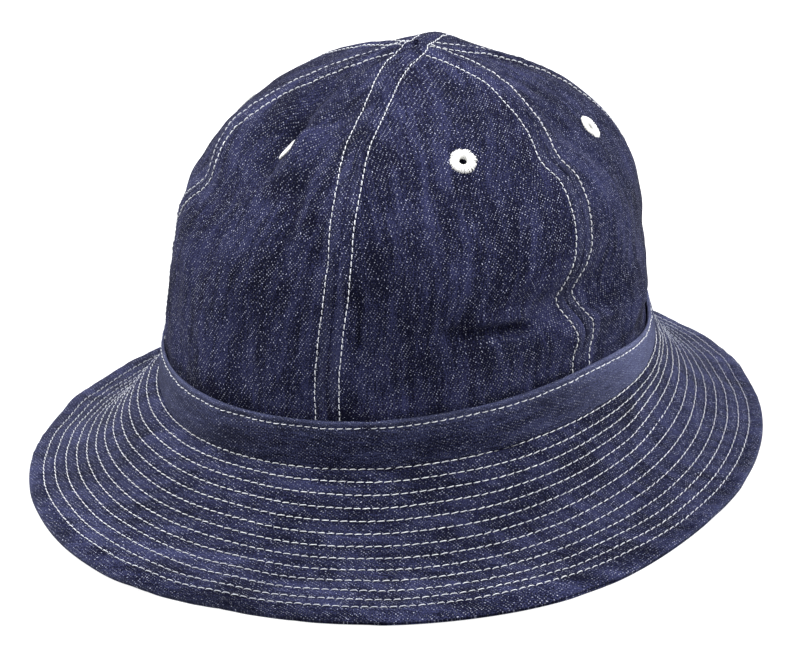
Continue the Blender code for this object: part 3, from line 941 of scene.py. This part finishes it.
def make_panel(number):
    """One panel of the crown, with its hole for the eyelet."""
    tip = np.interp(-TIP_RADIUS / FOOT_HALF_WIDTH, -reach(CLIMBS), CLIMBS)
    heights = np.linspace(0, up_the_crown(tip), PANEL_ROWS)[:, None]
    climb = np.interp(heights, LENGTHS_UP, CLIMBS)
    half_width = radians(PANEL_TURN / 2) * FOOT_HALF_WIDTH * reach(climb)
    s = np.linspace(0, 1, PANEL_COLUMNS)[None, :]
    shares = s - CROWDING * np.sin(2 * np.pi * s) / (2 * np.pi)
    turn = number * PANEL_TURN + shares * PANEL_TURN
    points, _ = crown_surface(turn, climb)
    flat = grid((2 * shares - 1) * half_width, heights) + number * NEXT_PANEL_SHIFT

    # Painted shade in the fold valleys, at the top, in the middle of the front and in a line just over the
    # band; the fold ridges get a little rubbed wear and painted light
    folded = fold_push(turn, climb) / MM
    topmost = np.clip((climb - TOP_PAINTED_SHADE_FROM) / (1 - TOP_PAINTED_SHADE_FROM), 0, 1) ** 0.5
    worn = SEAM_WEAR * bell(np.minimum(*seam_distances(turn, climb)) - SEAM_WEAR_PLACE, SEAM_WEAR_HALF)
    worn = worn + np.where(folded < 0, VALLEY_PAINTED_SHADE, RIDGE_WEAR_AND_LIGHT) * folded - TOP_PAINTED_SHADE * topmost
    worn = worn - bell(climb - MID_PAINTED_SHADE_CLIMB, MID_PAINTED_SHADE_HALF) * bump(turn, *MID_PAINTED_SHADE)
    worn = worn - PAINTED_SHADOW_OVER_BAND * bell(heights - PAINTED_SHADOW_OVER_BAND_HEIGHT, PAINTED_SHADOW_OVER_BAND_HALF)

    seat, _ = eyelet_seat(number)
    panel = cloth_object(f"panel_cloth_{number + 1}", points, flat, worn, CROWN_DENIM, hole=seat)
    thicken = panel.modifiers.new("thickness", "SOLIDIFY")
    thicken.thickness = CLOTH
    thicken.offset = -1.0
    settle(panel)
    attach(panel, "root")
    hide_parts(f"crown_panel_{number + 1}")
    cut_area = float(np.trapz(2 * half_width[:, 0], heights[:, 0]))
    return panel


panels = [make_panel(number) for number in range(PANELS)]
print("Panels:", len(panels), "with", sum(triangles(panel) for panel in panels), "triangles")

# %% [markdown]
# The hatband is a strip of denim with both edges turned in, folded over the foot of the crown. A flat ring
# would look like card, so its section is a closed loop: a face that swells between its two rows of stitching,
# a rounded upper edge, and a back that lies on the crown. Light is painted on both its sides, which are
# paler, as in the picture.

# %% Hatband
ROUND_COLUMNS = 540
BAND_STITCH_HEIGHT = 14.2 * MM
BAND_SWELL = 0.45 * MM
BAND_PINCH = 0.30 * MM
BAND_PINCH_HALF = 0.7 * MM
BAND_EDGE_RADIUS = 0.8 * MM
BAND_SHOULDER = BAND_HEIGHT - BAND_EDGE_RADIUS
BAND_TUCK = 0.3 * MM
BAND_FACE_RINGS = 26
ROLL_RINGS = 7
BACK_RINGS = 4
BAND_PUCKER = (0.22 * MM, 4.5 * MM, 1, 21)
BAND_PUCKER_HALF = 3 * MM
BAND_WAVE = (0.45 * MM, 26 * MM, 0.4, 23)
BAND_DIP = (97, 23, 0.42)
# Painted light on the band's two sides, where it is paler
PAINTED_LIGHT_LEFT = (84, 24, 0.65)
PAINTED_LIGHT_RIGHT = (-42, 20, 0.30)
EDGE_WEAR = 0.22
EDGE_WEAR_PLACE = BAND_SHOULDER + 0.5 * MM
EDGE_WEAR_HALF = 0.8 * MM
ROW_WEAR = 0.10
ROW_WEAR_HALF = 2.2 * MM
ROUND_TURNS = np.mod(180 + np.arange(ROUND_COLUMNS) * 360 / ROUND_COLUMNS, 360)


def band_surface(turns, heights, depths):
    """Points of the finished band, a row for each height and depth under its face, and its outward ways."""
    plain = band_point(turns[None, :], heights[:, None] * (1 - bump(turns, *BAND_DIP)))
    angle = heading(turns)
    outward = grid(np.cos(angle), np.sin(angle), 0.0)[None]
    from_row = heights - BAND_STITCH_HEIGHT
    swelling = BAND_SWELL * np.sin(np.pi * np.clip(heights / BAND_STITCH_HEIGHT, 0, 1)) ** 0.7
    swelling = swelling - BAND_PINCH * bell(from_row, BAND_PINCH_HALF)
    near_row = bell(from_row, BAND_PUCKER_HALF) + bell(heights, BAND_PUCKER_HALF)
    push = swelling[:, None] + near_row[:, None] * ripple(plain, *BAND_PUCKER) + ripple(plain, *BAND_WAVE)
    push = np.where((depths < BAND_EDGE_RADIUS)[:, None], push, 0.0) - depths[:, None]
    return plain + outward * push[..., None] - HOME, np.broadcast_to(outward, plain.shape)


def make_band():
    """The band as one closed loop of cloth."""
    face = np.linspace(-BAND_TUCK, BAND_SHOULDER, BAND_FACE_RINGS)
    roll = np.linspace(0, np.pi, ROLL_RINGS + 2)[1:-1]
    back = np.linspace(BAND_SHOULDER, -BAND_TUCK, BACK_RINGS)
    heights = np.concatenate([face, BAND_SHOULDER + BAND_EDGE_RADIUS * np.sin(roll), back])
    roll_depths = BAND_EDGE_RADIUS * (1 - np.cos(roll))
    depths = np.concatenate([np.zeros_like(face), roll_depths, np.full_like(back, BAND_WALL)])
    points, _ = band_surface(ROUND_TURNS, heights, depths)
    run = np.cumsum(np.concatenate([[0], np.hypot(np.diff(heights), np.diff(depths)), [BAND_WALL]]))
    length = radians(1) * FOOT_MEAN * np.linspace(-180, 180, ROUND_COLUMNS + 1)
    flat = grid(run[:, None], -length[None, :])
    rubbed = EDGE_WEAR * bell(heights - EDGE_WEAR_PLACE, EDGE_WEAR_HALF)
    rubbed = rubbed + ROW_WEAR * bell(heights - BAND_STITCH_HEIGHT, ROW_WEAR_HALF)
    # The paler sides are painted light
    worn = rubbed[:, None] + bump(ROUND_TURNS, *PAINTED_LIGHT_LEFT) + bump(ROUND_TURNS, *PAINTED_LIGHT_RIGHT)
    band = cloth_object("band_cloth", points, flat, worn, BAND_DENIM, closed=True)
    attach(band, "root")
    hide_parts("hatband")
    return band


band = make_band()
print("Band:", triangles(band), "triangles")

# %% [markdown]
# The brim is two plies of denim cut as rings. Thirteen rows of stitching quilt them together: each row pulls
# the cloth down and the narrow channel between two rows swells a little. At the rim both plies are turned in,
# which leaves two rounded lips with a dark line between them. Each ply is one closed section swept round.
# The part that lies on the ground is flattened there, as cloth is.

# %% Brim
ROWS = 13
FIRST_ROW = 0.3 * MM
ROW_STEP = 4.46 * MM
ROW_WAYS = FIRST_ROW + ROW_STEP * np.arange(ROWS)
LAST_ROW_DIP = (5, 22, 1.3 * MM)
RIM_DROOP = (-18, 24, 3.2 * MM)
RINGS_PER_ROW = 6
MARGIN_RINGS = 8
LIP_RADIUS = 1.15 * MM
LIP_TURN = 82.0
LIP_RINGS = 6
HEM = 1.6 * MM
LEDGE = CLOTH + FIT_GAP + BAND_WALL
QUILT_RISE = 0.34 * MM
QUILT_POWER = 2.2
PAST_RIM = 1.2 * MM
STILL_INNER = 6 * MM
RIM_WAVE_START = 34 * MM
WANDER_RADIUS = 0.13
ROW_WANDER = (0.22 * MM, 45 * MM, 1.6, 41)
BRIM_WAVE = (0.30 * MM, 22 * MM, 1, 35)
RIM_WAVE = (0.55 * MM, 30 * MM, 1, 37)
# These two waves get a seed of their own for each ply
QUILT_CHANGE = (0.5, 9 * MM, 1)
BRIM_PUCKER = (0.11 * MM, 4.2 * MM, 1.6)
# Painted shade on the front of the brim, and more of it along the rim there
FRONT_PAINTED_SHADE = (26, 52, 0.18)
RIM_PAINTED_SHADE = (26, 52, 0.16)
RIM_PAINTED_SHADE_WIDTH = 3 * MM
RIM_WEAR = 0.30
RIM_WEAR_HALF = 1.1 * MM
CHANNEL_WEAR = 0.12
WAY_STEP = 0.5 * MM
CONE_SHARE = 0.80


def wander(turns, ways):
    """How far a row of stitching strays outwards, in metres."""
    late = np.clip((ways - ROW_WAYS[-3]) / (ROW_WAYS[-1] - ROW_WAYS[-3]), 0, 1)
    around = np.radians(turns)
    spread = grid(np.cos(around) * WANDER_RADIUS, np.sin(around) * WANDER_RADIUS, ways)
    return ripple(spread, *ROW_WANDER) * np.clip(ways / ROW_STEP, 0, 1) - bump(turns, *LAST_ROW_DIP) * late**2


def quilt(ways):
    """How far the cloth swells between two rows of stitching."""
    rows = np.concatenate([[-LEDGE], ROW_WAYS, [BRIM_WIDTH + PAST_RIM]])
    at = np.clip(np.searchsorted(rows, ways, side="right") - 1, 0, len(rows) - 2)
    share = (ways - rows[at]) / (rows[at + 1] - rows[at])
    return QUILT_RISE * (1 - np.abs(2 * share - 1) ** QUILT_POWER)


def brim_surface(turns, ways, depths, side):
    """Points of a finished ply, a row for each way out and depth under the upper face, and its upward ways.

    side is 1 for the upper ply, which swells upwards, and -1 for the under one, which swells downwards."""
    ways = ways[:, None]
    depths = depths[:, None]
    here = ways + wander(turns[None, :], ways) * np.clip((BRIM_WIDTH - ways) / ROW_STEP, 0, 1)
    plain = brim_points(turns, here)
    outer = brim_points(turns, np.minimum(here + WAY_STEP, BRIM_WIDTH))
    inner = brim_points(turns, np.minimum(here, BRIM_WIDTH - WAY_STEP) - WAY_STEP)
    around = np.roll(plain, -1, axis=1) - np.roll(plain, 1, axis=1)
    upward = np.cross(around, inner - outer)
    upward = upward / np.linalg.norm(upward, axis=-1, keepdims=True)

    own_depth = depths if side > 0 else BRIM_WALL - depths
    near_face = np.where(own_depth < BRIM_WALL / 2, np.clip(1 - own_depth / LIP_RADIUS, 0, 1), 0)
    fine = quilt(ways) * (1 + ripple(plain, *QUILT_CHANGE, 31 + side))
    fine = fine + ripple(plain, *BRIM_PUCKER, 33 + side)
    start = np.clip((ways - RIM_WAVE_START) / (BRIM_WIDTH - RIM_WAVE_START), 0, 1)
    shared = ripple(plain, *BRIM_WAVE) + ripple(plain, *RIM_WAVE) * start
    push = shared * np.clip(ways / STILL_INNER, 0, 1) + side * fine * near_face - depths
    points = plain + upward * push[..., None]
    at_rim = np.clip((ways - ROW_WAYS[-1]) / (BRIM_WIDTH - ROW_WAYS[-1]), 0, 1)
    points[..., 2] = np.maximum(points[..., 2] - at_rim * bump(turns, *RIM_DROOP), BRIM_WALL - depths)
    return points - HOME, upward


def brim_flat(ways):
    """Where the rings of a ply lay on the flat cloth, which is a narrower ring of a larger circle."""
    angle = np.radians(np.linspace(-180, 180, ROUND_COLUMNS + 1))[None, :] * CONE_SHARE
    radius = (FOOT_MEAN / CONE_SHARE + ways)[:, None]
    return grid(-radius * np.cos(angle), -radius * np.sin(angle))


def make_ply(name, node, side):
    """One ply of the brim. side is 1 for the upper ply and -1 for the under one."""
    quilted = np.linspace(FIRST_ROW, ROW_WAYS[-1], (ROWS - 1) * RINGS_PER_ROW + 1)
    margin = np.linspace(ROW_WAYS[-1], BRIM_WIDTH - LIP_RADIUS, MARGIN_RINGS + 1)[1:]
    face = np.concatenate([[-LEDGE, -LEDGE / 2], quilted, margin])
    lip = np.radians(np.linspace(0, LIP_TURN, LIP_RINGS + 1)[1:])
    back = np.array([BRIM_WIDTH - HEM, BRIM_WIDTH * 0.75, BRIM_WIDTH / 2, BRIM_WIDTH / 4, 0, -LEDGE])
    ways = np.concatenate([face, BRIM_WIDTH - LIP_RADIUS + LIP_RADIUS * np.sin(lip), back])
    flat_ways = np.concatenate([face, BRIM_WIDTH - LIP_RADIUS + LIP_RADIUS * lip, back])
    back_depths = np.full_like(back, CLOTH + 0.1 * FIT_GAP)
    depths = np.concatenate([np.zeros_like(face), LIP_RADIUS * (1 - np.cos(lip)), back_depths])
    if side > 0:
        ways, flat_ways, depths = ways[::-1], flat_ways[::-1], depths[::-1]
    else:
        depths = BRIM_WALL - depths
    points, _ = brim_surface(ROUND_TURNS, ways, depths, side)
    flat = brim_flat(np.append(flat_ways, flat_ways[0]))
    rubbed = RIM_WEAR * bell(ways - BRIM_WIDTH, RIM_WEAR_HALF)
    rubbed = rubbed + CHANNEL_WEAR * np.clip(quilt(ways) / QUILT_RISE, 0, 1) ** 3
    # Painted shade at the brim's front and along its rim there, taken off the rubbed wear
    at_rim = np.clip((ways - ROW_WAYS[-1]) / RIM_PAINTED_SHADE_WIDTH, 0, 1)[:, None]
    painted_brim_shade = bump(ROUND_TURNS, *FRONT_PAINTED_SHADE) + bump(ROUND_TURNS, *RIM_PAINTED_SHADE) * at_rim
    ply = cloth_object(name, points, flat, rubbed[:, None] - painted_brim_shade, BRIM_DENIM, closed=True)
    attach(ply, "root")
    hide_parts(node)
    return ply


brim_top = make_ply("brim_top_cloth", "brim_upper", 1)
brim_under = make_ply("brim_under_cloth", "brim_under", -1)
print("Brim:", triangles(brim_top), "and", triangles(brim_under), "triangles")

# %% [markdown]
# A topstitch is a short length of thread that comes up out of the cloth and goes down again. Modelling each
# by hand is out of the question: the hat has thousands. So one stitch is made as a small tube, and a Geometry
# Nodes tree walks along each sewn line, drops a stitch at every pitch, and turns it to the line and to the
# cloth. Each stitch lies a little aslant, and no two quite alike, as a machine leaves them.

# %% One stitch
THREAD_WIDTH = 0.36 * MM
STITCH_SINK = 0.30 * MM
STITCHES = {
    # pitch in mm, share of it, lift in mm, sides and rings, slant and wobble in degrees, seed, thread
    "crown_stitches": (2.4, 0.86, 0.26, 6, 6, 4.0, 4.0, 11, SEWING_THREAD),
    "band_stitches": (3.0, 0.86, 0.26, 6, 6, 4.0, 3.0, 12, SEWING_THREAD),
    "brim_stitches": (3.2, 0.95, 0.34, 5, 5, 5.0, 4.0, 13, BRIM_THREAD),
    "under_stitches": (3.2, 0.82, 0.26, 4, 4, 5.0, 4.0, 14, BRIM_THREAD),
}


def tube_object(name, spine, radii, sides, material):
    """A closed tube round a spine of points, as the pattern for a stitch or a strand."""
    ahead = np.gradient(spine, axis=0)
    ahead = ahead / np.linalg.norm(ahead, axis=1, keepdims=True)
    aside = np.array([0.0, 1.0, 0.0])
    lifted = np.cross(ahead, aside)[:, None, :]
    angle = np.arange(sides)[None, :, None] * 2 * np.pi / sides
    rings = spine[:, None, :] + radii[:, None, None] * (np.cos(angle) * aside + np.sin(angle) * lifted)
    last = (len(spine) - 1) * sides
    caps = [tuple(range(sides - 1, -1, -1)), tuple(range(last, last + sides))]
    faces = grid_faces(len(spine), sides, True, False).tolist() + caps
    return mesh_object(name, rings.reshape(-1, 3).tolist(), [], faces, material)


def stitch_pattern(length, lift, sides, rings):
    """One stitch along X, in the cloth at both ends and over it in the middle."""
    s = np.linspace(-1, 1, rings)
    spine = grid(s * length / 2, 0.0, (1 - s**4) * (lift + STITCH_SINK) - STITCH_SINK)
    return tube_object("stitch", spine, THREAD_WIDTH / 2 * (1 - 0.35 * np.abs(s) ** 6), sides, SEWING_THREAD)


print("Kinds of stitches:", len(STITCHES))


# %% The sewing tree
def new_tree(name, inputs):
    """A Geometry Nodes tree, its inputs' wires by name, and a chance from -1 to 1 for each point."""
    tree = bpy.data.node_groups.new(name, "GeometryNodeTree")
    inputs = {"Start": "Geometry", "Pattern": "Object", "Seed": "Int", "Thread": "Material", **inputs}
    for label, kind in inputs.items():
        tree.interface.new_socket(label, in_out="INPUT", socket_type="NodeSocket" + kind)
    tree.interface.new_socket("Geometry", in_out="OUTPUT", socket_type="NodeSocketGeometry")
    given = dict(zip(inputs, add_node(tree, "NodeGroupInput", output=tuple(inputs))))
    limits = {2: -1.0, 3: 1.0, "Seed": given["Seed"]}
    return tree, given, add_node(tree, "FunctionNodeRandomValue", limits, {"data_type": "FLOAT"}, 1)


def end_tree(tree, given, placing):
    """Ends a tree: the pattern on every point, as real meshes of one material."""
    node = partial(add_node, tree)
    pattern = node("GeometryNodeObjectInfo", {"Object": given["Pattern"]}, output="Geometry")
    placed = node("GeometryNodeInstanceOnPoints", {"Instance": pattern, **placing})
    real = node("GeometryNodeRealizeInstances", {"Geometry": placed})
    painted = node("GeometryNodeSetMaterial", {"Geometry": real, "Material": given["Thread"]})
    node("NodeGroupOutput", {"Geometry": painted})
    return tree


def make_sewing_tree():
    """Stitches along sewn lines. The lines carry the cloth's outward direction as an attribute."""
    tree, given, chance = new_tree("sewn lines", {"Pitch": "Float", "Slant": "Float", "Wobble": "Float"})
    node = partial(add_node, tree)
    spacing = {"Curve": node("GeometryNodeMeshToCurve", {"Mesh": given["Start"]}), "Length": given["Pitch"]}
    points, ahead = node("GeometryNodeCurveToPoints", spacing, {"mode": "LENGTH"}, ("Points", "Tangent"))
    vector = {"data_type": "FLOAT_VECTOR"}
    outward = node("GeometryNodeInputNamedAttribute", {"Name": "outward"}, vector, "Attribute")
    align = "FunctionNodeAlignRotationToVector"
    along = node(align, {"Vector": ahead}, {"axis": "X"})
    standing = node(align, {"Rotation": along, "Vector": outward}, {"axis": "Z", "pivot_axis": "X"})
    twist = node("ShaderNodeCombineXYZ", {"Z": given["Slant"] + chance * given["Wobble"]})
    turning = {"Rotation": standing, "Rotate By": twist}
    turned = node("FunctionNodeRotateRotation", turning, {"rotation_space": "LOCAL"})
    size = node("ShaderNodeCombineXYZ", {"X": 1.0 + chance * 0.06, "Y": 1.0, "Z": 1.0 + chance * 0.2})
    return end_tree(tree, given, {"Points": points, "Rotation": turned, "Scale": size})


def give(obj, tree, values):
    """Runs a tree on an object with these inputs and makes the result real."""
    modifier = obj.modifiers.new(tree.name, "NODES")
    modifier.node_group = tree
    for socket in tree.interface.items_tree:
        if socket.in_out == "INPUT" and socket.name in values:
            modifier[socket.identifier] = values[socket.name]
    settle(obj)


def lines_object(name, lines):
    """A mesh of bare edges. Each line is its points, the cloth's outward ways and whether it closes."""
    edges = []
    start = 0
    for points, _, closed in lines:
        count = len(points)
        edges += [(start + number, start + (number + 1) % count) for number in range(count - (not closed))]
        start += count
    obj = mesh_object(name, np.concatenate([points for points, _, _ in lines]).tolist(), edges, [])
    attribute = obj.data.attributes.new("outward", "FLOAT_VECTOR", "POINT")
    outward = np.concatenate([ways for _, ways, _ in lines])
    attribute.data.foreach_set("vector", outward.astype(np.float32).ravel())
    return obj


SEWING_TREE = make_sewing_tree()


def sew(name, lines):
    """Stitches of one kind along all the given lines, as one plain mesh."""
    pitch, share, lift, sides, rings, slant, wobble, seed, thread = STITCHES[name]
    pattern = stitch_pattern(pitch * MM * share, lift * MM, sides, rings)
    sewn = lines_object(name, lines)
    values = {"Pattern": pattern, "Pitch": pitch * MM, "Slant": radians(slant), "Wobble": radians(wobble)}
    give(sewn, SEWING_TREE, {**values, "Seed": seed, "Thread": thread})
    for vertex in sewn.data.vertices:
        vertex.co.z = max(vertex.co.z, 0.0)
    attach(sewn, "root")
    print(name, "made:", triangles(sewn) // triangles(pattern))
    bpy.data.objects.remove(pattern, do_unlink=True)


print("Sewing tree nodes:", len(SEWING_TREE.nodes))

# %% [markdown]
# The seams' rows run beside each seam at an even distance, so the turn of a row grows as the crown narrows.
# The front to back seam has two rows that run over the top from front to back. The rows of the side seams
# end at its edge. The rows of the band and the brim are closed rings.

# %% Stitches
LINE_POINTS = 420
HIDDEN_CLIMB = 0.06


def beside_seam(home, side, climb):
    """The turn of a row of stitching beside a seam."""
    radius = foot_radius(heading(home)) * reach(climb)
    share = np.clip(STITCH_FROM_SEAM / np.maximum(radius, 1e-6), 0, 1)
    return home + side * np.degrees(np.arcsin(share))


def main_line(side):
    """A row of the front to back seam, over the top."""
    climbs = np.linspace(0, 1, 4001)
    highest = float(np.interp(-STITCH_FROM_SEAM, -foot_radius(heading(0)) * reach(climbs), climbs))
    climb = np.linspace(HIDDEN_CLIMB, highest, LINE_POINTS)
    down = climb[::-1][1:]
    front = crown_surface(beside_seam(0, side, climb), climb)
    rear = crown_surface(beside_seam(180, -side, down), down)
    return np.concatenate([front[0], rear[0]]), np.concatenate([front[1], rear[1]]), False


def side_line(home, side):
    """A row of a side seam, up to the edge of the front to back seam's strip."""
    climb = np.linspace(HIDDEN_CLIMB, 1, LINE_POINTS)
    turn = beside_seam(home, side, climb)
    main, _ = seam_distances(turn, climb)
    clear = main > STRIP_HALF
    return *crown_surface(turn[clear], climb[clear]), False


def ring_lines(points, outward):
    """A closed line for each row of a grid."""
    return [(row, ways, True) for row, ways in zip(points, outward)]


crown_lines = [main_line(side) for side in (-1, 1)]
crown_lines += [side_line(home, side) for home in SIDE_SEAMS for side in (-1, 1)]
sew("crown_stitches", crown_lines)
sew("band_stitches", ring_lines(*band_surface(ROUND_TURNS, np.array([BAND_STITCH_HEIGHT]), np.zeros(1))))
sew("brim_stitches", ring_lines(*brim_surface(ROUND_TURNS, ROW_WAYS, np.zeros(ROWS), 1)))
back_points, back_ways = brim_surface(ROUND_TURNS, ROW_WAYS, np.full(ROWS, BRIM_WALL), -1)
sew("under_stitches", ring_lines(back_points, -back_ways))

# %% [markdown]
# A worked eyelet is a hole bound with thread. Every strand starts on the face of the cloth, goes through the
# hole and ends on the back, so a plain ring would miss its fan of threads and its ragged edge. One strand is
# made as a bent tube, and a tree turns it round the hole many times, each a little longer or shorter.

# %% Eyelets
STRANDS = 88
STRAND_WIDTH = 0.44 * MM
STRAND_SIDES = 5
STRAND_RAGGED = 0.08
STRAND_STRAY = 0.4
FIRST_SEED = 40
STRAND = np.array([
    # out from the middle of the hole, aside, up from the cloth's face, in mm
    (4.55, 0.0, -0.10),
    (4.20, 0.0, 0.32),
    (3.35, 0.0, 0.50),
    (2.50, 0.0, 0.50),
    (1.70, 0.0, 0.30),
    (1.50, 0.0, -0.525),
    (1.80, 0.0, -1.35),
    (3.40, 0.0, -1.50),
    (4.30, 0.0, -1.05),
])


def make_eyelet_tree():
    """Strands turned round a hole."""
    tree, given, chance = new_tree("wound eyelet", {"Strands": "Int", "Ragged": "Float"})
    node = partial(add_node, tree)
    points = node("GeometryNodePoints", {"Count": given["Strands"]})
    step = math_node("DIVIDE", 2 * pi, given["Strands"])
    place = node("GeometryNodeInputIndex") + chance * STRAND_STRAY
    turn = node("ShaderNodeCombineXYZ", {"Z": place * step})
    longer = 1.0 + chance * given["Ragged"]
    size = node("ShaderNodeCombineXYZ", {"X": longer, "Y": 1.0, "Z": longer})
    return end_tree(tree, given, {"Points": points, "Rotation": turn, "Scale": size})


EYELET_TREE = make_eyelet_tree()
radii = np.full(len(STRAND), STRAND_WIDTH / 2)
strand = tube_object("strand", STRAND * MM, radii, STRAND_SIDES, EYELET_THREAD)


def make_eyelet(number):
    """One eyelet on its panel."""
    eyelet = mesh_object(f"eyelet_thread_{number + 1}", [], [], [])
    values = {"Pattern": strand, "Strands": STRANDS, "Ragged": STRAND_RAGGED, "Seed": FIRST_SEED + number}
    give(eyelet, EYELET_TREE, {**values, "Thread": EYELET_THREAD})
    place, outward = eyelet_seat(number)
    turned = Vector(outward).to_track_quat("Z", "Y").to_matrix().to_4x4()
    eyelet.data.transform(Matrix.Translation(place) @ turned)
    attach(eyelet, "root")
    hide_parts(f"eyelet_{number + 1}")
    return eyelet


eyelets = [make_eyelet(number) for number in range(PANELS)]
bpy.data.objects.remove(strand, do_unlink=True)
print("Eyelets:", len(eyelets), "of", triangles(eyelets[0]), "triangles each")

# %% [markdown]
# Last, the sizes of the dressed hat's box are printed with those of the imported one. The two should differ
# by no more than the cloth's swell.

# %% Boxes and the end
DRESSED_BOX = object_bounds()
sizes = {
    "cad": [list(corner) for corner in CAD_BOX],
    "visual": [list(corner) for corner in DRESSED_BOX],
}
total = sum(triangles(obj) for obj in scene.objects if obj.type == "MESH" and not obj.hide_render)
print("Triangles in all:", total)
for label, box in sizes.items():
    print(label, [round((high - low) / MM, 1) for low, high in zip(*box)], "mm")
